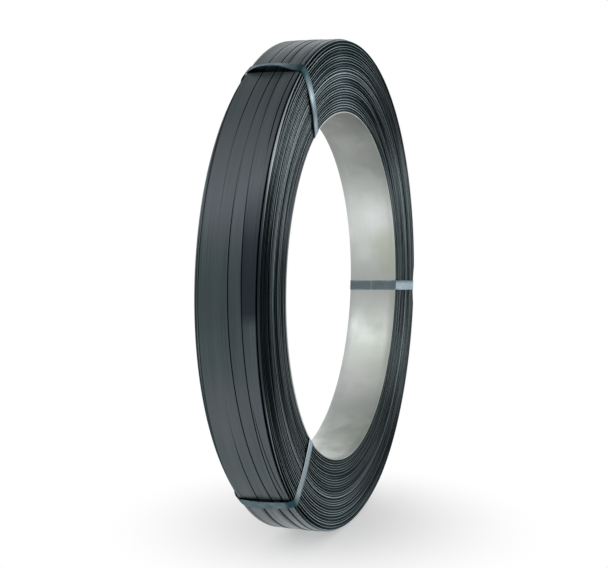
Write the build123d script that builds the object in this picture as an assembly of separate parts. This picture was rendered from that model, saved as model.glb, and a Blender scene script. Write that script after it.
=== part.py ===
from build123d import *
from math import pi, radians, sin, sqrt
import os

# A coil of steel strapping standing on its tread. The winding turns about the X axis, the end face
# shown in the photo looks to +X, and the floor is at Z = 0 under the middle of the bore.

# Winding, in mm
bore_diameter = 406.0
coil_width = 62.5
build_up = 78.0
strap_width = 13.0
strap_thickness = 0.6

# Each end bulges past the width at the bore, and its shoulder steps back to the tread
near_bulge = 6.2
near_shoulder_depth = 4.5
near_setback = 5.5
far_bulge = 2.75
far_shoulder_depth = 10.0
far_setback = 9.5

# The turns that show as rings on each end, some standing out a little further than others
face_turns = 8
shoulder_turns = 3
turn_stagger = 0.45
stagger_turn = radians(137.5)

# The outer wraps lie side by side, and this many of them end one layer lower towards the near end
lower_wraps = 2

# Bright sleeve that lines the bore and stands proud of the winding at both ends
sleeve_thickness = 1.0
sleeve_proud = 0.5

# Ties: flat strap loops round the winding
tie_width = 13.0
tie_thickness = 0.6
tie_gap = 0.15
mouth_gap = 0.6
tie_bend = 1.0
face_bow = 0.8

# Each tie's angle about the bore, from +Y towards +Z, and how high it bows off the tread
tie_angles = {"tie_right": -4.0, "tie_upper": 125.0, "tie_lower": 230.6}
tread_bows = {"tie_right": 1.5, "tie_upper": 5.4, "tie_lower": 2.8}

# How far round the coil each tie drifts from bore to tread, and from the middle to the near end
tie_leans = {"tie_right": 0.0, "tie_upper": 0.0, "tie_lower": -9.0}
tie_skews = {"tie_right": 0.8, "tie_upper": 0.0, "tie_lower": -2.5}

# Sizes that follow
bore_radius = bore_diameter / 2
winding_radius = bore_radius + sleeve_thickness
tread_radius = winding_radius + build_up
sleeve_width = coil_width + 2 * sleeve_proud
near_end = (near_bulge, near_shoulder_depth, near_setback)
far_end = (far_bulge, far_shoulder_depth, far_setback)
standing = Pos(0, 0, tread_radius)


def turn_reach(radius, end):
    """How far from the middle of the coil the turn at this radius reaches at one end."""
    bulge, shoulder_depth, setback = end
    shoulder_start = tread_radius - shoulder_depth
    up_the_face = (radius - winding_radius) / (shoulder_start - winding_radius)
    into_shoulder = max((radius - shoulder_start) / shoulder_depth, 0)
    return coil_width / 2 + bulge * sin(min(up_the_face, 1) * pi / 2) - setback * into_shoulder


def end_outline(end):
    """Stepped outline of one end as distance and radius, from the bore out to the tread."""
    shoulder_depth = end[1]
    face_height = (build_up - shoulder_depth) / face_turns
    shoulder_height = shoulder_depth / shoulder_turns
    outline = []
    inner = winding_radius
    for turn in range(face_turns + shoulder_turns):
        on_face = turn < face_turns
        outer = inner + (face_height if on_face else shoulder_height)
        reach = turn_reach((inner + outer) / 2, end)
        if on_face:
            reach += turn_stagger * sin(turn * stagger_turn)
        outline += [(reach, inner), (reach, outer)]
        inner = outer
    return outline


def make_coil():
    near = end_outline(near_end)
    far = [(-reach, radius) for reach, radius in end_outline(far_end)]
    rim = near[-1][0]
    level = tread_radius - lower_wraps * strap_thickness
    near[-1] = (rim, level)
    tread = []
    for wrap in range(1, lower_wraps + 1):
        edge = rim - wrap * strap_width
        tread += [(edge, level), (edge, level + strap_thickness)]
        level += strap_thickness
    outline = near + tread + far[::-1]
    section = make_face(Polyline([(x, 0, r) for x, r in outline], close=True))
    return revolve(section, Axis.X)


def make_sleeve():
    middle = bore_radius + sleeve_thickness / 2
    section = Pos(0, 0, middle) * Rot(90, 0, 0) * Rectangle(sleeve_width, sleeve_thickness)
    return revolve(section, Axis.X)


def tie_side(seat, end):
    """Points of a tie's loop at one end: the bore's mouth, mid face, shoulder and rim of the tread."""
    shoulder_depth = end[1]
    step = shoulder_depth / shoulder_turns / 2
    shoulder_start = tread_radius - shoulder_depth
    mid_face = (seat + shoulder_start) / 2
    lift = turn_stagger + tie_gap
    return [
        (sleeve_width / 2 + mouth_gap, seat),
        (turn_reach(mid_face, end) + lift + face_bow, mid_face),
        (turn_reach(shoulder_start, end) + lift, shoulder_start + step),
        (turn_reach(tread_radius - step, end) + 2 * tie_gap, tread_radius + tie_gap),
    ]


def make_tie(angle, tread_bow, lean, skew):
    """A flat strap bent into a closed loop round the section, then drifted a little round the coil."""
    seat = sqrt(bore_radius ** 2 - (tie_width / 2 + abs(skew)) ** 2) - tie_gap
    near = tie_side(seat, near_end)
    far = [(-reach, radius) for reach, radius in tie_side(seat, far_end)]
    crown = ((near[3][0] + far[3][0]) / 2, near[3][1] + tread_bow)
    inside = make_face([
        Line(far[0], near[0]),
        ThreePointArc(near[0], near[1], near[2]),
        Line(near[2], near[3]),
        ThreePointArc(near[3], crown, far[3]),
        Line(far[3], far[2]),
        ThreePointArc(far[2], far[1], far[0]),
    ])
    inside = fillet(inside.vertices(), tie_bend)
    loop = offset(inside, tie_thickness) - inside
    tie = extrude(Rot(90, 0, 0) * loop, tie_width / 2, both=True)
    lean_rate = lean / (tread_radius - seat)
    skew_rate = skew / (sleeve_width / 2)
    drift = Matrix([
        [1, 0, 0, 0],
        [-skew_rate, 1, -lean_rate, lean_rate * seat],
        [0, 0, 1, 0],
    ])
    return Rot(angle - 90, 0, 0) * tie.transform_geometry(drift)


pieces = {"strap_coil": make_coil(), "bore_sleeve": make_sleeve()}
for name, angle in tie_angles.items():
    pieces[name] = make_tie(angle, tread_bows[name], tie_leans[name], tie_skews[name])

os.makedirs("parts", exist_ok=True)
for name, piece in pieces.items():
    piece.label = name
    export_step(standing * piece, f"parts/{name}.step")
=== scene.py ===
import math
import random

import bmesh
import bpy
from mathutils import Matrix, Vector, noise


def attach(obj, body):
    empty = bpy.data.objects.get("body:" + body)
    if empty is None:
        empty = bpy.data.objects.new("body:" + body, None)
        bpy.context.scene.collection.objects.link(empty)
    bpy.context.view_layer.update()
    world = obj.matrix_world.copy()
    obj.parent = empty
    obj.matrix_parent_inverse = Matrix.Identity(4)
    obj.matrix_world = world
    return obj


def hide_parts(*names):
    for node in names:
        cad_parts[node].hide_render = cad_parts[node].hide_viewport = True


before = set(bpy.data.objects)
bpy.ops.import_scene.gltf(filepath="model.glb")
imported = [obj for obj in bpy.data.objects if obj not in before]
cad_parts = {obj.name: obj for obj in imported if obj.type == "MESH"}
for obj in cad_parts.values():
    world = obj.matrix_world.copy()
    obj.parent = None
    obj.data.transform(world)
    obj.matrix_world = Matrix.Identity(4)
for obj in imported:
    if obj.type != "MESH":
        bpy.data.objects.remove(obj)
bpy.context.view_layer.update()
print("frame loaded")

# Everything is in metres. The pieces' dictionaries give mm and degrees, and those of the finishes, the floor,
# the light and the camera give metres.
# Degrees go round the bore from +Y towards +Z, and +X is the end that faces the camera.
mm = 0.001
standHeight = 282.0   # middle of the bore above the floor


# small helpers
def ramp(value, start, over):
    # 0 up to start, then rising to 1
    return min(max((value - start) / over, 0), 1)


def trackValue(track, degrees):
    # smooth closed curve through (degrees, value) points
    count = len(track)
    degrees = (degrees - track[0][0]) % 360 + track[0][0]
    at = max(i for i in range(count) if track[i][0] <= degrees)
    points = []
    for step in (-1, 0, 1, 2):
        index = at + step
        points.append((track[index % count][0] + 360 * (index // count), track[index % count][1]))
    (d0, v0), (d1, v1), (d2, v2), (d3, v3) = points
    t = (degrees - d1) / (d2 - d1)
    slope1 = (v2 - v0) / (d2 - d0) * (d2 - d1)
    slope2 = (v3 - v1) / (d3 - d1) * (d2 - d1)
    return (v1 * (2 * t ** 3 - 3 * t ** 2 + 1) + slope1 * (t ** 3 - 2 * t ** 2 + t)
            + v2 * (3 * t ** 2 - 2 * t ** 3) + slope2 * (t ** 3 - t ** 2))


def roundNoise(angle, row, spread):
    # -1..1, closed round the coil, another pattern for each row
    return noise.noise(Vector((math.cos(angle) * spread, math.sin(angle) * spread, row * 7.31)))


noiseRange = (0.3, 0.7)   # most of what a noise texture gives lies in here


def ringPlace(x, radius, angle):
    return Vector((x, radius * math.cos(angle), radius * math.sin(angle) + standHeight)) * mm


def spinLoop(section, steps):
    # a closed section of (x, radius) points turned about the bore, each point tagged with its number
    bm = bmesh.new()
    rank = bm.verts.layers.int.new("rank")
    corners = []
    for number, (x, radius) in enumerate(section):
        corner = bm.verts.new((x, radius, 0))
        corner[rank] = number
        corners.append(corner)
    edges = [bm.edges.new(pair) for pair in zip(corners, corners[1:] + corners[:1])]
    bmesh.ops.spin(bm, geom=corners + edges, cent=(0, 0, 0), axis=(1, 0, 0),
                   angle=2 * math.pi, steps=steps, use_merge=True)
    return bm, rank


def bevelRims(bm, rims, offset):
    bmesh.ops.bevel(bm, geom=rims, offset=offset, offset_type="OFFSET", affect="EDGES", segments=2,
                    profile=0.5, material=-1)


def finishPiece(bm, name, material, node):
    bmesh.ops.recalc_face_normals(bm, faces=bm.faces)
    for face in bm.faces:
        face.smooth = True
    mesh = bpy.data.meshes.new(name)
    bm.to_mesh(mesh)
    bm.free()
    piece = bpy.data.objects.new(name, mesh)
    bpy.context.scene.collection.objects.link(piece)
    mesh.materials.append(material)
    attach(piece, "root")
    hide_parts(node)
    mesh.calc_loop_triangles()
    print(name, len(mesh.loop_triangles), "triangles")


class Nodes:
    # short way to lay out a material's nodes
    def __init__(self, tree):
        self.tree = tree
        tree.nodes.clear()

    def add(self, kind, settings=None, **sockets):
        node = self.tree.nodes.new(kind)
        for key, value in (settings or {}).items():
            setattr(node, key, value)
        for key, value in sockets.items():
            socket = node.inputs[int(key[1:])] if key[1:].isdigit() else node.inputs[key.replace("_", " ")]
            if isinstance(value, bpy.types.NodeSocket):
                self.tree.links.new(value, socket)
            else:
                socket.default_value = value
        return node

    def math(self, operation, a, b=0.0, clamp=False):
        return self.add("ShaderNodeMath", {"operation": operation, "use_clamp": clamp}, i0=a, i1=b).outputs[0]

    def shared(self, first, share, second):
        # so much of the first, and the rest of the second
        return self.math("ADD", self.math("MULTIPLY", first, share), self.math("MULTIPLY", second, 1 - share))

    def spread(self, value, low, high, toLow=0.0, toHigh=1.0, smooth=False):
        kind = "SMOOTHSTEP" if smooth else "LINEAR"
        return self.add("ShaderNodeMapRange", {"interpolation_type": kind}, Value=value, i1=low, i2=high,
                        i3=toLow, i4=toHigh).outputs[0]

    def blend(self, factor, first, second):
        # the first and second are sockets or plain colours
        first, second = (c if isinstance(c, bpy.types.NodeSocket) else (*c, 1) for c in (first, second))
        return self.add("ShaderNodeMix", {"data_type": "RGBA"}, i0=factor, i6=first, i7=second).outputs[2]

    def blendLevels(self, factor, first, second):
        return self.add("ShaderNodeMix", {"data_type": "FLOAT"}, i0=factor, i2=first, i3=second).outputs[0]

    def place(self):
        return self.add("ShaderNodeTexCoord").outputs["Object"]

    def attribute(self, name):
        return self.add("ShaderNodeAttribute", {"attribute_name": name}).outputs["Fac"]

    def bump(self, height, strength, distance):
        return self.add("ShaderNodeBump", Height=height, Strength=strength, Distance=distance).outputs[0]

    def streaks(self, across, along, deep, detail):
        # noise of x, direction round the bore and radius: no seam, and drawn out along the strap
        parts = self.add("ShaderNodeSeparateXYZ", i0=self.place())
        height = self.math("SUBTRACT", parts.outputs[2], standHeight * mm)
        radius = self.math("SQRT", self.math("ADD", self.math("MULTIPLY", parts.outputs[1], parts.outputs[1]),
                                             self.math("MULTIPLY", height, height)))
        east = self.math("MULTIPLY", self.math("DIVIDE", parts.outputs[1], radius), along)
        north = self.math("MULTIPLY", self.math("DIVIDE", height, radius), along)
        x = self.math("MULTIPLY", parts.outputs[0], across)
        vector = self.add("ShaderNodeCombineXYZ", i0=x, i1=east, i2=north).outputs[0]
        layer = self.math("MULTIPLY", radius, deep)
        return self.add("ShaderNodeTexNoise", {"noise_dimensions": "4D"}, Vector=vector, W=layer,
                        Scale=1.0, Detail=detail, Roughness=0.5).outputs[0]

    def clouds(self, scale, detail, rough=0.5, pattern=0.0):
        return self.add("ShaderNodeTexNoise", {"noise_dimensions": "4D"}, Vector=self.place(), W=pattern,
                        Scale=scale, Detail=detail, Roughness=rough).outputs[0]

    def patch(self, spot, size, strength, ragged):
        # a round patch with a ragged edge, at full strength in its middle
        away = self.add("ShaderNodeVectorMath", {"operation": "DISTANCE"}, i0=self.place(),
                        i1=spot).outputs["Value"]
        return self.spread(self.math("ADD", away, ragged), size[0], size[1], strength, 0.0, smooth=True)

    def paintedTieShadow(self, tie):
        # painted shadow: 1 on the strip of tread that a tie covers, 0 beyond its edges
        parts = self.add("ShaderNodeSeparateXYZ", i0=self.place())
        x, y = parts.outputs[0], parts.outputs[1]
        height = self.math("SUBTRACT", parts.outputs[2], standHeight * mm)
        angle = math.radians(tie["angle"])
        sine, cosine = math.sin(angle), math.cos(angle)
        out = self.math("ADD", self.math("MULTIPLY", y, cosine), self.math("MULTIPLY", height, sine))
        aside = self.math("SUBTRACT", self.math("MULTIPLY", y, sine), self.math("MULTIPLY", height, cosine))
        drift = self.math("ADD", self.math("MULTIPLY", x, tie["skew"] / tieBand["halfLength"]),
                          (tie["lean"] + tie["creep"]) * mm)
        aside = self.math("ABSOLUTE", self.math("ADD", aside, drift))
        dark, light = tieBand["shadeEdge"]
        strip = self.spread(aside, dark * mm, light * mm, tie["shade"], 0.0, smooth=True)
        return self.math("MULTIPLY", strip, self.math("GREATER_THAN", out, tieBand["treadSide"] * mm))

    def principled(self, tint=None, specular=None, **sockets):
        shader = self.add("ShaderNodeBsdfPrincipled", **sockets)
        if specular is not None:
            shader.inputs["Specular IOR Level"].default_value = specular
        if tint:
            shader.inputs["Specular Tint"].default_value = (*tint, 1)
        self.add("ShaderNodeOutputMaterial", i0=shader.outputs[0])


def newMaterial(name):
    material = bpy.data.materials.new(name)
    material.use_nodes = True
    return material, Nodes(material.node_tree)


# The steel of the strap. Its shade-and-shine level follows how far a point stands proud and is painted light:
# 0 gives painted shade in a gap, 1 a painted highlight on a proud edge. A highlight patch is painted highlight,
# given as its strength, its place, and how far from there it starts to fade and ends.
strapFinish = dict(
    gap=(0.002, 0.003, 0.004), dark=(0.042, 0.060, 0.065), body=(0.079, 0.105, 0.112),
    pale=(0.20, 0.235, 0.245), navy=(0.004, 0.011, 0.023), tint=(0.50, 0.56, 0.58),
    metallic=0.30, roughness=0.36, specular=0.9, gapLift=(0.0, 0.5), paleLift=(0.78, 1.0),
    highlightTone=(0.115, 0.126, 0.145),
    # painted highlights on the tread, at about 152 and 204 degrees round the bore
    highlightPatches=[(0.75, (-0.006, -0.250, 0.412), (0.017, 0.102)), (0.5, (-0.004, -0.258, 0.168), (0.013, 0.078))],
)
edgeFinish = dict(
    gap=(0.0005, 0.001, 0.0015), dark=(0.024, 0.034, 0.038), body=(0.060, 0.080, 0.086),
    pale=(0.56, 0.65, 0.68), tint=(0.50, 0.56, 0.58),
    metallic=0.92, roughness=0.38, specular=0.1, gapLift=(0.04, 0.50), paleLift=(0.52, 1.0),
)
# streaks are across, along, deep and detail, and clouds are scale, detail, roughness and pattern
strapGrain = dict(fine=(900, 3.0, 1700, 2.0), broad=(120, 1.6, 260, 2.0), cloud=(14, 3.0),
                  grain=(900, 2.0, 0.5, 3.0), fineShare=0.45, bumpShare=0.7, cloudShare=0.35, tone=(0.36, 0.66),
                  mottle=0.08, ragged=0.02, roughGrain=0.10, roughDark=0.02, roughBody=-0.08,
                  bump=0.12, bumpDepth=0.0004)


def strapMaterial(name, f, covered=()):
    # blackened, waxed steel strap: dark blue-grey, drawn streaks along the strap, painted highlights on proud
    # edges, painted shade in gaps and below the ties
    g = strapGrain
    material, n = newMaterial(name)
    fine = n.streaks(*g["fine"])
    broad = n.streaks(*g["broad"])
    cloud = n.clouds(*g["cloud"])
    grain = n.clouds(*g["grain"])
    shadeAndShine = n.attribute("shadeAndShine")
    cloudy = n.math("MULTIPLY", n.math("SUBTRACT", cloud, 0.5), g["cloudShare"])
    tone = n.spread(n.math("ADD", n.shared(fine, g["fineShare"], broad), cloudy), *g["tone"])
    colour = n.blend(tone, f["dark"], f["body"])
    for strength, spot, size in f.get("highlightPatches", ()):
        ragged = n.spread(cloud, *noiseRange, -g["ragged"], g["ragged"])
        colour = n.blend(n.patch(spot, size, strength, ragged), colour, f["highlightTone"])
    # painted highlight: paler where the shade-and-shine level is high
    mottled = n.math("ADD", shadeAndShine, n.spread(broad, *noiseRange, -g["mottle"], g["mottle"]))
    colour = n.blend(n.spread(mottled, *f["paleLift"]), colour, f["pale"])
    if "navy" in f:
        colour = n.blend(n.attribute("navy"), colour, f["navy"])
    # painted shade: near-black and fully metallic where the shade-and-shine level is low, in gaps
    exposed = n.spread(shadeAndShine, *f["gapLift"])
    for tie in covered:
        exposed = n.math("MULTIPLY", exposed, n.math("SUBTRACT", 1.0, n.paintedTieShadow(tie)))   # painted shadow below a tie
    colour = n.blend(exposed, f["gap"], colour)
    smoother = n.spread(tone, 0, 1, f["roughness"] + g["roughDark"], f["roughness"] + g["roughBody"])
    n.principled(Base_Color=colour, Metallic=n.spread(exposed, 0, 1, 1.0, f["metallic"]),
                 Roughness=n.math("ADD", n.math("MULTIPLY", grain, g["roughGrain"]), smoother),
                 Normal=n.bump(n.shared(fine, g["bumpShare"], grain), g["bump"], g["bumpDepth"]),
                 tint=f["tint"], specular=f["specular"])
    return material


# a smear is its colour, strength, place and size
sleeveFinish = dict(
    body=(0.67, 0.705, 0.68), shade=(0.56, 0.598, 0.573), warm=(0.62, 0.60, 0.52), darkTone=(0.30, 0.31, 0.28),
    green=(0.52, 0.56, 0.44), sleeveHighlight=(0.86, 0.88, 0.87), roughness=0.36, roughGrain=0.08,
    fine=(1400, 5.0, 0, 3.0), broad=(90, 3.0, 0, 2.0), cloud=(24, 4.0, 0.55), stain=(9, 3.0, 0.6, 5.0),
    grain=(1200, 2.0, 0.5, 2.0), ragged=0.018, bump=0.10, bumpDepth=0.0003,
    # the bright patches are painted highlights; the dark ones are partly real smears and partly painted shade
    smears=[("sleeveHighlight", 0.9, (0.0, 0.152, 0.146), 0.050), ("sleeveHighlight", 0.7, (0.004, 0.186, 0.362), 0.038),
            ("sleeveHighlight", 0.5, (0.0, 0.112, 0.452), 0.030), ("darkTone", 0.35, (0.0, 0.060, 0.086), 0.045),
            ("darkTone", 0.45, (0.020, 0.052, 0.478), 0.050), ("darkTone", 0.35, (0.028, 0.130, 0.438), 0.045),
            ("darkTone", 0.30, (0.028, 0.118, 0.117), 0.045), ("darkTone", 0.35, (0.026, -0.010, 0.480), 0.060),
            ("darkTone", 0.42, (0.024, 0.058, 0.090), 0.050), ("darkTone", 0.40, (0.026, -0.060, 0.090), 0.060),
            ("green", 0.55, (0.024, 0.199, 0.318), 0.036), ("green", 0.35, (0.020, 0.170, 0.170), 0.045)],
)


def sleeveMaterial():
    # bright uncoated steel band with faint warm stains, dark smears that are partly real and partly painted
    # shade, painted highlight patches and drawn streaks
    f = sleeveFinish
    material, n = newMaterial("bright_sleeve")
    fine = n.streaks(*f["fine"])
    broad = n.streaks(*f["broad"])
    cloud = n.clouds(*f["cloud"])
    stain = n.clouds(*f["stain"])
    grain = n.clouds(*f["grain"])
    colour = n.blend(n.spread(n.shared(fine, 0.5, cloud), 0.35, 0.65), f["shade"], f["body"])
    colour = n.blend(n.spread(broad, 0.5, 0.75, 0.0, 0.25), colour, f["warm"])
    colour = n.blend(n.spread(stain, 0.56, 0.72, 0.0, 0.4), colour, f["warm"])
    ragged = n.spread(cloud, *noiseRange, -f["ragged"], f["ragged"])
    for kind, strength, spot, size in f["smears"]:
        colour = n.blend(n.patch(spot, (size * 0.2, size * 1.25), strength, ragged), colour, f[kind])
    smoother = n.spread(cloud, *noiseRange, f["roughness"] + 0.06, f["roughness"] - 0.08)
    n.principled(Base_Color=colour, Metallic=1.0, Normal=n.bump(fine, f["bump"], f["bumpDepth"]),
                 Roughness=n.math("ADD", n.math("MULTIPLY", grain, f["roughGrain"]), smoother))
    return material


# the dark colour is the tie's painted shade, the bright one its painted highlight
tieFinish = dict(darkTone=(0.023, 0.053, 0.066), paintedHighlight=(0.75, 0.88, 0.94), scratch=(0.70, 0.78, 0.82),
                 tint=(0.50, 0.58, 0.62), metallic=0.95, roughness=0.30, uneven=0.06,
                 cloud=(90, 4.0, 0.6), grain=(700, 2.0, 0.5, 4.0), bump=0.15, bumpDepth=0.0003)


def tieMaterial():
    # blued tie strap, with painted highlights on the legs and painted shade in dark blue at the bends, on the
    # underside and along the face legs' edges, and with scratch marks
    f = tieFinish
    uneven = f["uneven"]
    material, n = newMaterial("blued_tie")
    cloud = n.clouds(*f["cloud"])
    grain = n.clouds(*f["grain"])
    tone = n.spread(n.shared(cloud, 0.7, grain), 0.36, 0.64, -uneven, uneven)
    colour = n.blend(n.math("ADD", n.attribute("paintedLight"), tone, clamp=True), f["darkTone"], f["paintedHighlight"])
    colour = n.blend(n.attribute("mark"), colour, f["scratch"])
    n.principled(Base_Color=colour, Metallic=f["metallic"], Normal=n.bump(grain, f["bump"], f["bumpDepth"]),
                 Roughness=n.spread(tone, -uneven, uneven, f["roughness"] + 0.08, f["roughness"] - 0.04),
                 tint=f["tint"])
    return material


# The three ties. A route is the middle of the strap's thickness, as x and distance from the bore's middle.
# Lean, skew and creep are how far round the coil the tie drifts, in mm, and the painted light is how bright
# each part is painted: painted highlight where high, painted shade where low.
tieBand = dict(
    width=13.0, thickness=0.6, round=0.14, smooth=8, cuts=5, sharp=1.2,
    seat=202.0, span=80.0, halfLength=31.75, foldFrom=276.5, foldOver=5.0, tiltFrom=282.3, tiltOver=4.0,
    shadeEdge=(6.2, 7.6), treadSide=200.0,   # the painted shadow strip below a tie
    boreLeg=203.2, faceLeg=31.0, bendMiddle=3.0, bendFrom=22.0, bendOver=5.0,   # where each level of painted light goes
    # painted shade on the tread legs' underside, and along the edges of the near face legs
    treadLeg=281.0, treadHalf=30.0, undersideShade=-0.3,
    dimFrom=32.5, dimEdge=(3.2, 2.2), dimShare=0.75, fadeEdge=(1.5, -6.0),
    legX=30.0, legRadius=203.0, beside=0.6, nearby=40.0, clear=0.38, easing=0.10,   # room for the turns below
)
ties = {
    "tie_right": dict(
        angle=-4.0, lean=0.0, skew=0.8, creep=0.0, shade=0.9, tilt=0.0,
        marks=[(-4.6, 0.6, 0.25), (-2.0, 0.6, 0.2), (29.4, 0.5, 0.35)],
        paintedLight=dict(bore=0.24, face=[(206, 0.48), (222, 0.51), (250, 0.51), (272, 0.56), (277, 0.45)],
                 bend=0.25, tread=0.11, fade=0.0),
        route=[(-30.9, 202.45), (-15, 202.45), (0, 202.45), (15, 202.45), (31.4, 202.45), (32.6, 203.4),
               (33.4, 206), (36.3, 222), (38.0, 243), (38.35, 260), (38.4, 272), (38.2, 277.0), (36.8, 279.6),
               (34.3, 281.6), (32.2, 282.3), (20, 283.3), (3.5, 283.9), (-12, 283.4), (-25.0, 282.6),
               (-27.0, 281.6), (-34.6, 272.9), (-35.0, 270.5), (-34.9, 252), (-34.2, 230), (-32.9, 208),
               (-32.3, 203.4)]),
    "tie_upper": dict(
        angle=125.0, lean=0.0, skew=0.0, creep=0.0, shade=0.97, tilt=0.30, marks=[],
        paintedLight=dict(bore=0.22, face=[(206, 0.55), (218, 0.58), (230, 0.26), (238, 0.45), (248, 0.95), (256, 0.55),
                                  (267, 0.18), (277, 0.0)],
                 bend=0.0, tread=0.115, fade=0.45),
        route=[(-30.9, 202.45), (-15, 202.45), (0, 202.45), (15, 202.45), (31.2, 202.45), (32.4, 203.4),
               (33.0, 206), (34.9, 220), (36.6, 237), (36.9, 250), (36.6, 263.2), (35.7, 272.5), (34.9, 277.0),
               (33.6, 280.2), (31.6, 281.6), (28.2, 282.2), (22.4, 283.6), (15.3, 285.3), (5, 286.9),
               (-7, 286.9), (-15, 285.7), (-22.5, 283.5), (-26.4, 281.6), (-34.3, 272.9), (-34.8, 270.5),
               (-34.7, 252), (-34.0, 230), (-32.9, 208), (-32.3, 203.4)]),
    "tie_lower": dict(
        angle=230.6, lean=-9.0, skew=-2.5, creep=-4.5, shade=0.95, tilt=0.15, marks=[],
        paintedLight=dict(bore=0.22, face=[(206, 1.0), (225, 0.90), (250, 0.78), (266, 0.68), (273, 0.30), (278, 0.05)],
                 bend=0.0, tread=0.13, fade=0.0),
        route=[(-30.9, 202.45), (-15, 202.45), (0, 202.45), (15, 202.45), (31.2, 202.45), (32.3, 203.4),
               (32.7, 206), (34.2, 224), (35.2, 240), (35.4, 254), (35.3, 266), (35.0, 274.5), (34.6, 277.8),
               (33.6, 280.6), (31.9, 282.0), (20, 284.0), (3.5, 285.1), (-12, 284.4), (-24.6, 282.6),
               (-26.6, 281.5), (-34.6, 272.9), (-35.0, 270.5), (-34.9, 252), (-34.2, 230), (-32.9, 208),
               (-32.3, 203.4)]),
}


def tieShift(tie, x, radius):
    # how far round the coil, in mm, the tie has drifted here
    fold = ramp(radius, tieBand["foldFrom"], tieBand["foldOver"])
    return (tie["lean"] * (radius - tieBand["seat"]) / tieBand["span"] + tie["skew"] * x / tieBand["halfLength"]
            + tie["creep"] * fold * fold * (3 - 2 * fold))


blackenedStrap = strapMaterial("blackened_strap", strapFinish,
                               (ties["tie_upper"], ties["tie_lower"], ties["tie_right"]))
strapEdges = strapMaterial("strap_edges", edgeFinish)
brightSleeve = sleeveMaterial()
bluedTie = tieMaterial()
print("finishes made")


def underTies(x, radius, angle, side):
    # the furthest that a turn may reach here without coming through a tie
    room = math.inf
    for tie in ties.values():
        away = (math.degrees(angle) - tie["angle"] + 180) % 360 - 180
        aside = abs(math.radians(away) * radius - tieShift(tie, x, radius))
        aside -= tieBand["width"] / 2 + tieBand["beside"]
        if aside > tieBand["nearby"]:
            continue
        leg = [p for p in tie["route"] if p[0] * side > tieBand["legX"] and p[1] > tieBand["legRadius"]]
        leg.sort(key=lambda p: p[1])
        reach = leg[0][0] * side
        for (x0, r0), (x1, r1) in zip(leg, leg[1:]):
            if r0 <= radius <= r1:
                reach = side * (x0 + (x1 - x0) * (radius - r0) / (r1 - r0))
        if radius > leg[-1][1]:
            reach = leg[-1][0] * side
        room = min(room, reach - tieBand["clear"] + tieBand["easing"] * max(aside, 0))
    return room


# The two wound ends. Turns lie in bands. In each band the last one or two stand proud as a pale lip with
# painted highlight, and the rest lie back in painted shade. Tracks are (degrees, value) points round the coil.
coil = dict(innerRadius=204.0, treadRadius=282.0, halfWidth=31.25, turns=116, pitch=0.65, steps=200,
            endPlace=33, slitEdge=(0.05, 0.55), proudGap=(0.55, 0.62), backGap=(0.60, 0.68),
            grooveDepth=0.35, sleeveTurns=3, sleeveReach=30.9, sleeveStep=0.1)
# painted light on the ends: painted highlight on lips, and on walls and outer lips where shine is high; painted
# shade in hollows, gaps and feet, and on outer turns where gloom is high
ringTone = dict(topFrom=262, topOver=14, lipShine=0.35, hollowGlint=0.4, hollowDepth=0.06, gloom=0.20,
                gloomFrom=230, gloomOver=22, least=0.06, wall=0.32, wallShine=0.5, wallFrom=264, wallOver=12,
                foot=0.40)
bandMix = dict(sizes=(4, 4, 4, 5, 5), lips=(1, 1, 2), recess=(0.6, 1.3), level=(-0.30, 0.0),
               glint=(-0.14, 0.16), dip=(0.0, 1.4), dipStep=47, dipStray=25, dipWidth=(40, 90), jitter=0.06,
               levelWaver=(0.25, 1.3), recessWaver=(0.6, 1.8), recessMean=0.85, glintWaver=(0.35, 2.2),
               driftRows=95, driftSpread=0.9, driftCalm=0.7, levelCalm=0.5, hollowRise=0.3)
nearEnd = dict(
    side=1, name="turns_near", seed=4, limit=38.6, rimReach=32.6, underWraps=33.6,
    bulgeAt=[(-60, 7.3), (-30, 7.5), (0, 7.5), (40, 7.3), (80, 6.4), (125, 4.8), (180, 4.4), (230, 3.9),
             (270, 5.6)],
    shoulderAt=[(-60, 279.2), (60, 279.2), (100, 278.4), (125, 276.5), (150, 279.0), (200, 279.0),
                (230, 276.5), (270, 278.0)],
    recess=1.3, drift=0.7, dip=0.9,
    # the tone tracks paint sheen and shade round the coil, with a bright column near 100 degrees; shineAt
    # paints highlight streaks on the outer turns and gloomAt paints shade there
    lipTone=[(-75, 0.78), (-48, 0.76), (-30, 0.92), (-12, 0.78), (12, 0.78), (30, 0.84), (48, 0.64), (65, 0.64),
             (85, 0.78), (95, 0.86), (102, 0.94), (110, 0.88), (125, 0.88), (140, 0.88), (150, 0.80),
             (160, 0.74), (170, 0.60), (182, 0.56), (192, 0.60), (204, 0.70), (216, 0.78), (235, 0.84),
             (250, 0.88), (268, 0.86)],
    hollowTone=[(-75, 0.44), (-48, 0.46), (-30, 0.62), (-12, 0.42), (12, 0.42), (30, 0.46), (48, 0.26),
                (65, 0.20), (85, 0.22), (95, 0.28), (101, 0.40), (107, 0.22), (115, 0.12), (125, 0.12),
                (140, 0.18), (150, 0.18), (160, 0.20), (170, 0.16), (182, 0.16), (192, 0.18), (204, 0.26),
                (216, 0.22), (235, 0.22), (246, 0.28), (255, 0.40), (268, 0.40)],
    shineAt=[(0, 0.0), (90, 0.1), (128, 0.7), (141, 1.0), (149, 1.0), (156, 0.3), (164, 0.0), (190, 0.1),
             (205, 0.3), (225, 0.1)],
    gloomAt=[(0, 0.0), (60, 0.1), (85, 0.5), (105, 1.0), (124, 1.0), (136, 0.3), (150, 0.1), (160, 0.5),
             (175, 0.7), (196, 0.5), (215, 0.1), (255, 0.1), (270, 0.3)],
)
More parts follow.
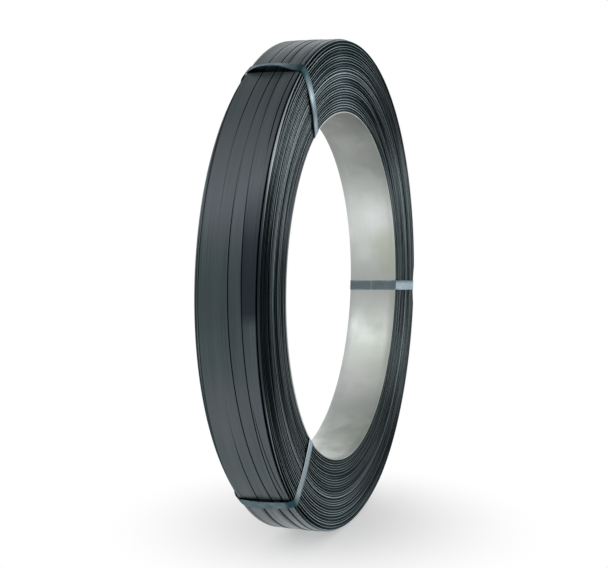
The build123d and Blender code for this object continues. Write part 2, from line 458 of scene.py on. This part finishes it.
farEnd = dict(
    side=-1, name="turns_far", seed=11, limit=34.3, rimReach=24.9, underWraps=26.6,
    bulgeAt=[(0, 3.0), (90, 2.7), (180, 2.7), (270, 2.9)],
    shoulderAt=[(0, 272.0), (120, 272.4), (240, 272.0)],
    recess=1.0, drift=0.5, dip=0.7,
    # painted sheen and shade round the far end
    lipTone=[(0, 0.7), (90, 0.6), (180, 0.7), (270, 0.65)],
    hollowTone=[(0, 0.4), (90, 0.3), (180, 0.35), (270, 0.35)],
    shineAt=[(0, 0.0), (120, 0.2), (240, 0.0)],
    gloomAt=[(0, 0.0), (90, 0.3), (180, 0.0), (270, 0.3)],
)
# the bore's near rim isn't round: how far it sags inwards, and how far out the turns follow it
rimSag = dict(reach=45.0, at=[(-90, 1.5), (-66, 0.9), (-40, 0.7), (-10, 0.0), (2, 0.0), (30, 0.9), (45, 2.2),
                              (62, 3.4), (82, 3.7), (100, 3.0), (112, 1.4), (120, 0.0), (130, 0.0), (150, 0.8),
                              (180, 0.9), (210, 0.6), (225, 0.0), (233, 0.1), (246, 1.5), (257, 2.1)])


def turnReach(end, radius, angle):
    degrees = math.degrees(angle)
    shoulder = trackValue(end["shoulderAt"], degrees)
    up = min((radius - coil["innerRadius"]) / (shoulder - coil["innerRadius"]), 1)
    into = max((radius - shoulder) / (coil["treadRadius"] - shoulder), 0)
    full = coil["halfWidth"] + trackValue(end["bulgeAt"], degrees) * math.sin(up * math.pi / 2)
    return full + (end["rimReach"] - full) * into


def turnStagger(end):
    # each turn's band, whether it is a proud lip of the band, its share of the way up the band, and its jitter
    dice = random.Random(end["seed"])
    mix = bandMix
    turns = []
    band = 0
    while len(turns) < coil["turns"]:
        size = dice.choice(mix["sizes"])
        lips = dice.choice(mix["lips"])
        about = dict(band=band, recess=end["recess"] * dice.uniform(*mix["recess"]),
                     level=dice.uniform(*mix["level"]), glint=dice.uniform(*mix["glint"]),
                     dip=end["dip"] * dice.uniform(*mix["dip"]),
                     dipAt=(band * mix["dipStep"] + dice.uniform(-mix["dipStray"], mix["dipStray"])) % 360,
                     dipWidth=dice.uniform(*mix["dipWidth"]))
        for place in range(size):
            jitter = dice.uniform(-mix["jitter"], mix["jitter"])
            turns.append((about, place >= size - lips, (place + 0.5) / size, jitter))
        band += 1
    return turns[:coil["turns"]]


def bandHere(end, about, angle):
    # a band's shift, recess and glint waver round the coil, and it dips in one place
    row = about["band"] + end["seed"] * 13
    away = abs((math.degrees(angle) - about["dipAt"] + 180) % 360 - 180)
    dip = about["dip"] * max(0, 1 - away / about["dipWidth"])
    (levelBy, levelSpread), (recessBy, recessSpread) = bandMix["levelWaver"], bandMix["recessWaver"]
    glintBy, glintSpread = bandMix["glintWaver"]
    return (about["level"] + levelBy * roundNoise(angle, row, levelSpread) - dip,
            about["recess"] * (bandMix["recessMean"] + recessBy * roundNoise(angle, row + 0.5, recessSpread)),
            about["glint"] + glintBy * roundNoise(angle, row + 0.25, glintSpread))


def turnColumn(end, stagger, angle):
    # reach and paleness of every turn at one angle, the paleness being painted highlight and shade, how far the
    # rim sags there, and how much painted highlight the outer turns get
    side, degrees, tone, mix = end["side"], math.degrees(angle), ringTone, bandMix
    lipTone, hollowTone = trackValue(end["lipTone"], degrees), trackValue(end["hollowTone"], degrees)
    shine, gloom = max(trackValue(end["shineAt"], degrees), 0), max(trackValue(end["gloomAt"], degrees), 0)
    bands = {}
    rows = []
    for turn, (about, isLip, share, jitter) in enumerate(stagger):
        radius = coil["innerRadius"] + (turn + 0.5) * coil["pitch"]
        if about["band"] not in bands:
            bands[about["band"]] = bandHere(end, about, angle)
        shift, recess, glint = bands[about["band"]]
        top = ramp(radius, tone["topFrom"], tone["topOver"])
        slow = end["drift"] * roundNoise(angle, radius / mix["driftRows"] + end["seed"], mix["driftSpread"])
        slow *= 1 - mix["driftCalm"] * top
        drop = 0 if isLip else recess * (1 - mix["hollowRise"] * share)
        reach = turnReach(end, radius, angle) + slow + shift * (1 - mix["levelCalm"] * top) - drop + jitter
        if turn < coil["sleeveTurns"]:   # the sleeve's rim stands proud of the first turns
            reach = min(reach, coil["sleeveReach"] + coil["sleeveStep"] * turn)
        # painted highlight on a lip, painted shade in a hollow, darker the deeper it lies
        if isLip:
            pale = lipTone + glint + tone["lipShine"] * shine * top
        else:
            pale = hollowTone + tone["hollowGlint"] * glint - tone["hollowDepth"] * drop
        pale -= tone["gloom"] * gloom * ramp(radius, tone["gloomFrom"], tone["gloomOver"])
        rows.append((min(reach, end["limit"], underTies(side * coil["endPlace"], radius, angle, side)),
                     min(max(pale, tone["least"]), 1)))
    sag = trackValue(rimSag["at"], degrees) if side > 0 else 0.0
    return rows, sag, shine


def windEnd(end):
    # each turn has its slit edge, the strap's flat where it stands proud of its neighbour, and the gap between
    side, pitch, inner, turns = end["side"], coil["pitch"], coil["innerRadius"], coil["turns"]
    section = []
    for turn in range(turns):
        section += [(side * coil["endPlace"], inner + turn * pitch + edge)
                    for edge in coil["slitEdge"] + coil["backGap"]]
    closing = len(section)
    section += [(0, inner + turns * pitch), (0, inner)]
    bm, rank = spinLoop(section, coil["steps"])
    shadeAndShine = bm.verts.layers.float.new("shadeAndShine")
    stagger = turnStagger(end)
    columns = {}
    for vert in bm.verts:
        number = vert[rank]
        angle = math.atan2(vert.co.z, vert.co.y)
        key = round(angle, 5)
        if key not in columns:
            columns[key] = turnColumn(end, stagger, angle)
        rows, sag, shine = columns[key]
        radius = section[number][1]
        x = 0
        if number < closing:
            turn, part = divmod(number, 4)
            base = inner + turn * pitch
            x, pale = rows[turn]
            beyond = rows[turn + 1][0] if turn + 1 < turns else end["underWraps"]
            low = min(x, beyond)
            proud = x > beyond   # this turn stands out past the next, so its outer flat shows
            if part > 1:
                # a groove gets painted shade, and a proud turn's wall gets painted highlight where shine is
                # high
                wall = ringTone["wall"] + ringTone["wallShine"] * shine * ramp(base, ringTone["wallFrom"],
                                                                               ringTone["wallOver"])
                inGap = proud == (part == 3)
                x = low - coil["grooveDepth"] if inGap else low
                pale = 0.0 if inGap else wall if proud else ringTone["foot"]
                radius = base + coil["proudGap" if proud else "backGap"][part - 2]
            vert[shadeAndShine] = pale
            x *= side
            radius -= sag * max(0, 1 - (radius - inner) / rimSag["reach"]) ** 1.5
        vert.co = ringPlace(x, radius, angle)
    for edge in bm.edges:
        if edge.verts[0][rank] == edge.verts[1][rank]:
            edge.smooth = False   # every turn keeps its square slit edge
    finishPiece(bm, end["name"], strapEdges, "strap_coil")


windEnd(nearEnd)
windEnd(farEnd)

# The outer wraps, side by side on the tread, from the near end to the far end. For each edge between two
# wraps: where it runs across the tread, how deep its groove is, and how the level steps there.
wraps = dict(
    under=279.2, farRim=-24.8, rimWander=0.6, rimDrop=0.15, rimGap=0.15, crown=0.10, steps=288,
    landShares=(0.02, 0.3, 0.5, 0.7, 0.98), grooveShares=(0.5, 0.22, -0.22, -0.5),
    # the lands' tone, painted shade in the grooves that gets darker the deeper a groove is, and the level above
    # which the painted sheen goes on lands
    landTone=0.72, floorDrop=0.72, edgeDrop=0.58, fullDepth=0.6, landTop=0.7, paintedSheenLift=0.28,
    paintedSheenFrom=-24, paintedSheenOver=30,
    wideFrom=220, wideOver=14, navyEdge=2, navyPast=0.2, navyFrom=156, navyOver=12, navyTo=184, navyEnd=2.5,
    navyShare=0.9,
    # painted sheen round the tread, strongest near its top and bottom
    paintedSheenAt=[(20, 0.3), (96, 0.45), (108, 0.75), (118, 0.35), (128, 0.0), (226, 0.0), (237, 0.55), (246, 1.0),
            (258, 0.9), (285, 0.3)],
    nearRimAt=[(0, 33.1), (60, 33.2), (100, 32.6), (125, 31.9), (150, 32.1), (180, 32.1), (205, 31.5),
               (229, 32.0), (270, 32.9), (320, 33.2)],
)
wrapEdges = [
    dict(step=-0.10, width=1.0,
         depthAt=[(100, 0.9), (140, 0.9), (154, 0.0), (200, 0.0), (300, 0.0), (360, 0.5), (420, 0.9)],
         xAt=[(100, 26.8), (120, 27.6), (140, 27.1), (155, 28.6), (200, 29.0), (300, 28.6), (380, 27.4)]),
    dict(step=-0.12, width=0.8,
         depthAt=[(100, 0.0), (196, 0.0), (204, 0.5), (225, 0.6), (240, 0.3), (252, 0.0), (330, 0.0)],
         xAt=[(100, 19.0), (190, 20.6), (200, 22.0), (210, 24.5), (220, 27.6), (228, 30.0), (300, 27.0),
              (380, 21.0)]),
    dict(step=-0.35, width=0.85,
         depthAt=[(100, 0.9), (136, 0.5), (148, 0.22), (158, 0.3), (172, 0.7), (200, 0.9), (245, 1.0),
                  (320, 0.9)],
         xAt=[(110, 14.0), (130, 14.7), (150, 15.4), (170, 17.6), (190, 19.4), (207, 21.2), (225, 24.0),
              (240, 26.2), (300, 22.5), (380, 16.0)]),
    dict(step=-0.35, width=0.85,
         depthAt=[(100, 0.9), (136, 0.5), (150, 0.16), (160, 0.3), (170, 0.7), (200, 0.9), (245, 1.0),
                  (320, 0.9)],
         xAt=[(110, 5.9), (125, 6.0), (150, 4.4), (165, 4.2), (180, 5.0), (195, 6.5), (210, 8.8), (225, 12.2),
              (240, 16.0), (300, 13.0), (390, 7.0)]),
    dict(step=-0.15, width=0.85,
         depthAt=[(100, 0.9), (130, 0.7), (150, 0.25), (165, 0.0), (190, 0.0), (208, 0.35), (222, 0.8),
                  (300, 0.9)],
         xAt=[(110, -8.0), (130, -7.4), (150, -8.6), (180, -7.2), (210, -4.0), (225, -2.8), (245, -4.6),
              (320, -7.0), (390, -8.0)]),
    dict(step=0.0, width=0.9,
         depthAt=[(100, 0.0), (155, 0.0), (172, 0.22), (186, 0.1), (205, 0.12), (225, 0.0), (300, 0.5)],
         xAt=[(100, -18.4), (175, -17.8), (205, -19.6), (300, -19.0)]),
]


def wrapRow(angle):
    # both rims, and each groove's place, depth and width, at one angle
    degrees = math.degrees(angle) % 360
    nearRim = trackValue(wraps["nearRimAt"], degrees)
    farRim = wraps["farRim"] + wraps["rimWander"] * roundNoise(angle, 9.1, 1.0)
    wide = 1 + ramp(degrees, wraps["wideFrom"], wraps["wideOver"])
    grooves = [(trackValue(e["xAt"], degrees), max(trackValue(e["depthAt"], degrees), 0.0), e["width"] * wide)
               for e in wrapEdges]
    return nearRim, farRim, grooves


def wrapTread():
    # ranks: near flank, then each wrap's land and the groove beyond it, then far flank
    plan = [("flank", 0, 0), ("flank", 0, 1)]
    for number in range(len(wrapEdges) + 1):
        plan += [("land", number, share) for share in wraps["landShares"]]
        if number < len(wrapEdges):
            plan += [("groove", number, part) for part in (0, 1, 2, 3)]
    plan += [("flank", 1, 1), ("flank", 1, 0)]
    section = [(30 - 50 * i / len(plan), wraps["under"]) for i in range(len(plan))]   # placed further below
    bm, rank = spinLoop(section, wraps["steps"])
    shadeAndShine = bm.verts.layers.float.new("shadeAndShine")
    navy = bm.verts.layers.float.new("navy")
    levels = [coil["treadRadius"] + sum(e["step"] for e in wrapEdges[number:])
              for number in range(len(wrapEdges) + 1)]
    gaps = [wraps["rimGap"]] + [e["width"] / 2 for e in wrapEdges] + [wraps["rimGap"]]
    rows = {}
    for vert in bm.verts:
        angle = math.atan2(vert.co.z, vert.co.y)
        degrees = math.degrees(angle) % 360
        key = round(angle, 5)
        if key not in rows:
            rows[key] = wrapRow(angle)
        nearRim, farRim, grooves = rows[key]
        kind, number, part = plan[vert[rank]]
        vert[shadeAndShine] = wraps["landTone"]
        if kind == "flank":
            x = nearRim if number == 0 else farRim
            radius = levels[-1 if number else 0] - wraps["rimDrop"] if part else wraps["under"]
        elif kind == "land":
            borders = [nearRim] + [groove[0] for groove in grooves] + [farRim]
            first, second = borders[number] - gaps[number], borders[number + 1] + gaps[number + 1]
            x = first + (second - first) * part
            radius = levels[number] - wraps["crown"] + wraps["crown"] * (1 - (2 * part - 1) ** 2)
        else:
            x, depth, width = grooves[number]
            x += wraps["grooveShares"][part] * width
            onFloor = part in (1, 2)
            radius = levels[number if part < 2 else number + 1] - (depth if onFloor else 0) - wraps["crown"]
            # painted shade in the groove, darker the deeper it is
            drop = wraps["floorDrop"] if onFloor else wraps["edgeDrop"]
            vert[shadeAndShine] = wraps["landTone"] - drop * min(depth / wraps["fullDepth"], 1)
        # painted sheen on the lands near the tread's top and bottom, stronger towards the near end
        paintedSheen = max(trackValue(wraps["paintedSheenAt"], degrees), 0) * ramp(x, wraps["paintedSheenFrom"], wraps["paintedSheenOver"])
        if vert[shadeAndShine] > wraps["landTop"]:
            vert[shadeAndShine] += wraps["paintedSheenLift"] * paintedSheen
        onFarFlank = kind == "flank" and number == 1
        if x > grooves[wraps["navyEdge"]][0] - wraps["navyPast"] and not onFarFlank:
            vert[navy] = (ramp(degrees, wraps["navyFrom"], wraps["navyOver"])
                          * ramp(degrees, wraps["navyTo"], -wraps["navyEnd"]) * wraps["navyShare"])
        vert.co = ringPlace(x, radius, angle)
    for edge in bm.edges:
        a, b = edge.verts
        if a[rank] == b[rank] and plan[a[rank]][0] != "land":
            edge.smooth = False
    finishPiece(bm, "outer_wraps", blackenedStrap, "strap_coil")


wrapTread()

# the bright sleeve in the bore
sleeve = dict(innerRadius=203.0, outerRadius=204.0, halfWidth=31.75, edge=0.25, uneven=0.05, unevenSpread=3.0,
              rings=(-21, -10.5, 0, 10.5, 21), steps=288)


def turnSleeve():
    half, inner, outer = sleeve["halfWidth"], sleeve["innerRadius"], sleeve["outerRadius"]
    section = [(half, inner), (half, outer), (-half, outer), (-half, inner)]
    section += [(x, inner) for x in sleeve["rings"]]
    bm, rank = spinLoop(section, sleeve["steps"])
    rims = [e for e in bm.edges if e.verts[0][rank] == e.verts[1][rank] and e.verts[0][rank] < 4]
    bevelRims(bm, rims, sleeve["edge"])
    for vert in bm.verts:
        angle = math.atan2(vert.co.z, vert.co.y)
        radius = math.hypot(vert.co.y, vert.co.z)
        middle = 1 - abs(vert.co.x) / half
        radius += sleeve["uneven"] * middle * roundNoise(angle, vert.co.x * 0.004, sleeve["unevenSpread"])
        towardsRim = (vert.co.x / half + 1) / 2
        radius -= trackValue(rimSag["at"], math.degrees(angle)) * towardsRim ** 2
        vert.co = ringPlace(vert.co.x, radius, angle)
    finishPiece(bm, "sleeve_bright", brightSleeve, "bore_sleeve")


turnSleeve()


# bending the ties
def routeCurve(points):
    # the tie's loop as a smooth closed spline, read back as short runs
    curve = bpy.data.curves.new("route", "CURVE")
    curve.dimensions = "2D"
    curve.fill_mode = "NONE"
    curve.resolution_u = tieBand["smooth"]
    curve.extrude = tieBand["width"] / 2
    spline = curve.splines.new("BEZIER")
    spline.bezier_points.add(len(points) - 1)
    for knot, (x, radius) in zip(spline.bezier_points, points):
        knot.co = (x, radius, 0)
        knot.handle_left_type = knot.handle_right_type = "AUTO"
    spline.use_cyclic_u = True
    holder = bpy.data.objects.new("route", curve)
    bpy.context.scene.collection.objects.link(holder)
    bpy.context.view_layer.update()
    mesh = bpy.data.meshes.new_from_object(holder.evaluated_get(bpy.context.evaluated_depsgraph_get()))
    bpy.data.objects.remove(holder)
    bpy.data.curves.remove(curve)
    return mesh


def paintedHighlight(paintedLight, x, radius):
    # how much painted highlight the tie has here, against painted shade: bore leg, face leg, bend or tread leg
    if radius < tieBand["boreLeg"]:
        return paintedLight["bore"]
    if abs(x) > tieBand["faceLeg"] and radius < paintedLight["face"][-1][0]:
        for (r0, v0), (r1, v1) in zip(paintedLight["face"], paintedLight["face"][1:]):
            if radius <= r1:
                return v0 + (v1 - v0) * max((radius - r0) / (r1 - r0), 0)
    bend = ramp(abs(x - tieBand["bendMiddle"]), tieBand["bendFrom"], tieBand["bendOver"])
    return paintedLight["bend"] * bend + paintedLight["tread"] * (1 - bend)


def bendTie(name, tie):
    half = tieBand["width"] / 2
    bm = bmesh.new()
    strip = routeCurve(tie["route"])
    bm.from_mesh(strip)
    bpy.data.meshes.remove(strip)
    bmesh.ops.remove_doubles(bm, verts=bm.verts, dist=0.001)
    crosswise = [e for e in bm.edges if abs(e.verts[0].co.z - e.verts[1].co.z) > 1]
    bmesh.ops.subdivide_edges(bm, edges=crosswise, cuts=tieBand["cuts"], use_grid_fill=True)
    bmesh.ops.recalc_face_normals(bm, faces=bm.faces)
    bmesh.ops.solidify(bm, geom=bm.faces, thickness=tieBand["thickness"])
    bmesh.ops.recalc_face_normals(bm, faces=bm.faces)
    rims = [e for e in bm.edges if e.is_manifold and e.calc_face_angle(0) > tieBand["sharp"]
            and all(abs(abs(v.co.z) - half) < 0.01 for v in e.verts)]
    bevelRims(bm, rims, tieBand["round"])
    mark = bm.verts.layers.float.new("mark")
    paintedLight = bm.verts.layers.float.new("paintedLight")
    angle = math.radians(tie["angle"] - 90)
    bm.normal_update()
    for vert in bm.verts:
        x, radius, across = vert.co
        for at, reach, strength in tie["marks"]:
            if radius < coil["innerRadius"] and abs(x - at) < reach:
                vert[mark] = strength
        if radius > tieBand["treadLeg"] and abs(x) < tieBand["treadHalf"] and vert.normal.y < -0.3:
            vert[paintedLight] = tieBand["undersideShade"]   # painted shade on its underside
        else:
            # painted shade along the edges of the near face leg
            dimmer = tieBand["dimShare"] * ramp(across, *tieBand["dimEdge"])
            dimmer += tie["paintedLight"]["fade"] * ramp(across, *tieBand["fadeEdge"])
            vert[paintedLight] = paintedHighlight(tie["paintedLight"], x, radius) * (1 - dimmer * (x > tieBand["dimFrom"]))
        y = -across - tieShift(tie, x, radius)
        z = radius + tie["tilt"] * across * ramp(radius, tieBand["tiltFrom"], tieBand["tiltOver"])
        vert.co = Vector((x, y * math.cos(angle) - z * math.sin(angle),
                          y * math.sin(angle) + z * math.cos(angle) + standHeight)) * mm
    finishPiece(bm, name + "_band", bluedTie, name)


for name, tie in ties.items():
    bendTie(name, tie)

# floor, light and camera
stand = dict(floorRadius=1.35, floorColour=(0.94, 0.94, 0.94), fadeFrom=0.03, fadeTo=0.27, least=0.42, lit=1.0,
             farSide=0.42, sideFrom=-0.12, sideTo=0.17)


def pourFloor():
    bm = bmesh.new()
    bmesh.ops.create_circle(bm, cap_ends=True, radius=stand["floorRadius"], segments=128)
    mesh = bpy.data.meshes.new("floor")
    bm.to_mesh(mesh)
    bm.free()
    floor = bpy.data.objects.new("floor", mesh)
    bpy.context.scene.collection.objects.link(floor)
    material, n = newMaterial("pale_floor")
    place = n.place()
    away = n.add("ShaderNodeVectorMath", {"operation": "LENGTH"}, i0=place).outputs["Value"]
    fade = n.spread(away, stand["fadeFrom"], stand["fadeTo"], stand["least"], 1.0, smooth=True)
    path = n.add("ShaderNodeLightPath")
    side = n.add("ShaderNodeSeparateXYZ", i0=place).outputs[1]
    mirrored = n.spread(side, stand["sideFrom"], stand["sideTo"], stand["lit"], stand["farSide"], smooth=True)
    # the floor glows for glossy rays though it is no lamp: steel shows it full white on the near side, dimmer
    # on the far side
    glossy, camera = path.outputs["Is Glossy Ray"], path.outputs["Is Camera Ray"]
    strength = n.math("ADD", n.math("MULTIPLY", glossy, n.math("SUBTRACT", mirrored, 1.0)), 1.0)
    shown = n.math("MAXIMUM", n.math("MULTIPLY", fade, camera), glossy)
    matt = n.add("ShaderNodeBsdfDiffuse", Color=(*stand["floorColour"], 1))
    white = n.add("ShaderNodeEmission", Color=(1, 1, 1, 1), Strength=strength)
    mixed = n.add("ShaderNodeMixShader", i0=shown, i1=matt.outputs[0], i2=white.outputs[0])
    n.add("ShaderNodeOutputMaterial", i0=mixed.outputs[0])
    mesh.materials.append(material)


studio = dict(horizon=0.42, upper=0.62, upperHeight=(0.10, 0.55), farSide=1.15, farReach=(-0.10, 0.60),
              overhead=0.46, overheadHeight=(0.56, 0.84), softbox=0.30, softboxEdge=(0.86, 0.985),
              softboxTowards=(-0.29, -0.74, 0.60), lampEnergy=3.2, lampSize=1.1, lampAway=2.2)


def hangLight():
    # white studio with a dimmer ceiling and camera side; a soft bright patch half way up on the camera side
    world = bpy.data.worlds.new("studio")
    world.use_nodes = True
    bpy.context.scene.world = world
    n = Nodes(world.node_tree)
    softboxWay = Vector(studio["softboxTowards"]).normalized()
    towards = n.add("ShaderNodeTexCoord").outputs["Generated"]
    parts = n.add("ShaderNodeSeparateXYZ", i0=towards)
    level = n.spread(n.math("ABSOLUTE", parts.outputs[2]), *studio["upperHeight"], studio["horizon"],
                     studio["upper"], smooth=True)
    far = n.spread(parts.outputs[1], *studio["farReach"], smooth=True)
    level = n.blendLevels(far, level, studio["farSide"])
    dome = n.spread(parts.outputs[2], *studio["overheadHeight"], smooth=True)
    level = n.blendLevels(dome, level, studio["overhead"])
    facing = n.add("ShaderNodeVectorMath", {"operation": "DOT_PRODUCT"}, i0=towards,
                   i1=softboxWay).outputs["Value"]
    level = n.math("ADD", level, n.spread(facing, *studio["softboxEdge"], 0.0, studio["softbox"], smooth=True))
    path = n.add("ShaderNodeLightPath")
    seen = n.math("MAXIMUM", path.outputs["Is Camera Ray"], path.outputs["Is Transmission Ray"])
    level = n.math("ADD", n.math("MULTIPLY", level, n.math("SUBTRACT", 1.0, seen)), seen)
    sky = n.add("ShaderNodeBackground", Color=(1, 1, 1, 1), Strength=level)
    n.add("ShaderNodeOutputWorld", i0=sky.outputs[0])
    lamp = bpy.data.lights.new("softbox", "AREA")
    lamp.size = studio["lampSize"]
    lamp.energy = studio["lampEnergy"]
    box = bpy.data.objects.new("softbox", lamp)
    bpy.context.scene.collection.objects.link(box)
    middle = Vector((0, 0, standHeight * mm))
    box.location = softboxWay * studio["lampAway"] + middle
    box.rotation_euler = (middle - box.location).to_track_quat("-Z", "Y").to_euler()


view = dict(location=(0.3888, -1.1119, 0.3693), towards=(-0.34796, 0.93466, -0.07298), lens=59.21, sensor=36,
            clip=(0.05, 50))


def setCamera():
    data = bpy.data.cameras.new("camera")
    data.sensor_width = view["sensor"]
    data.sensor_fit = "HORIZONTAL"
    data.lens = view["lens"]
    data.clip_start, data.clip_end = view["clip"]
    camera = bpy.data.objects.new("camera", data)
    bpy.context.scene.collection.objects.link(camera)
    camera.location = view["location"]
    camera.rotation_euler = Vector(view["towards"]).to_track_quat("-Z", "Y").to_euler()
    bpy.context.scene.camera = camera


pourFloor()
hangLight()
setCamera()
bpy.context.scene.view_settings.view_transform = "Standard"
print("floor, light and camera set")
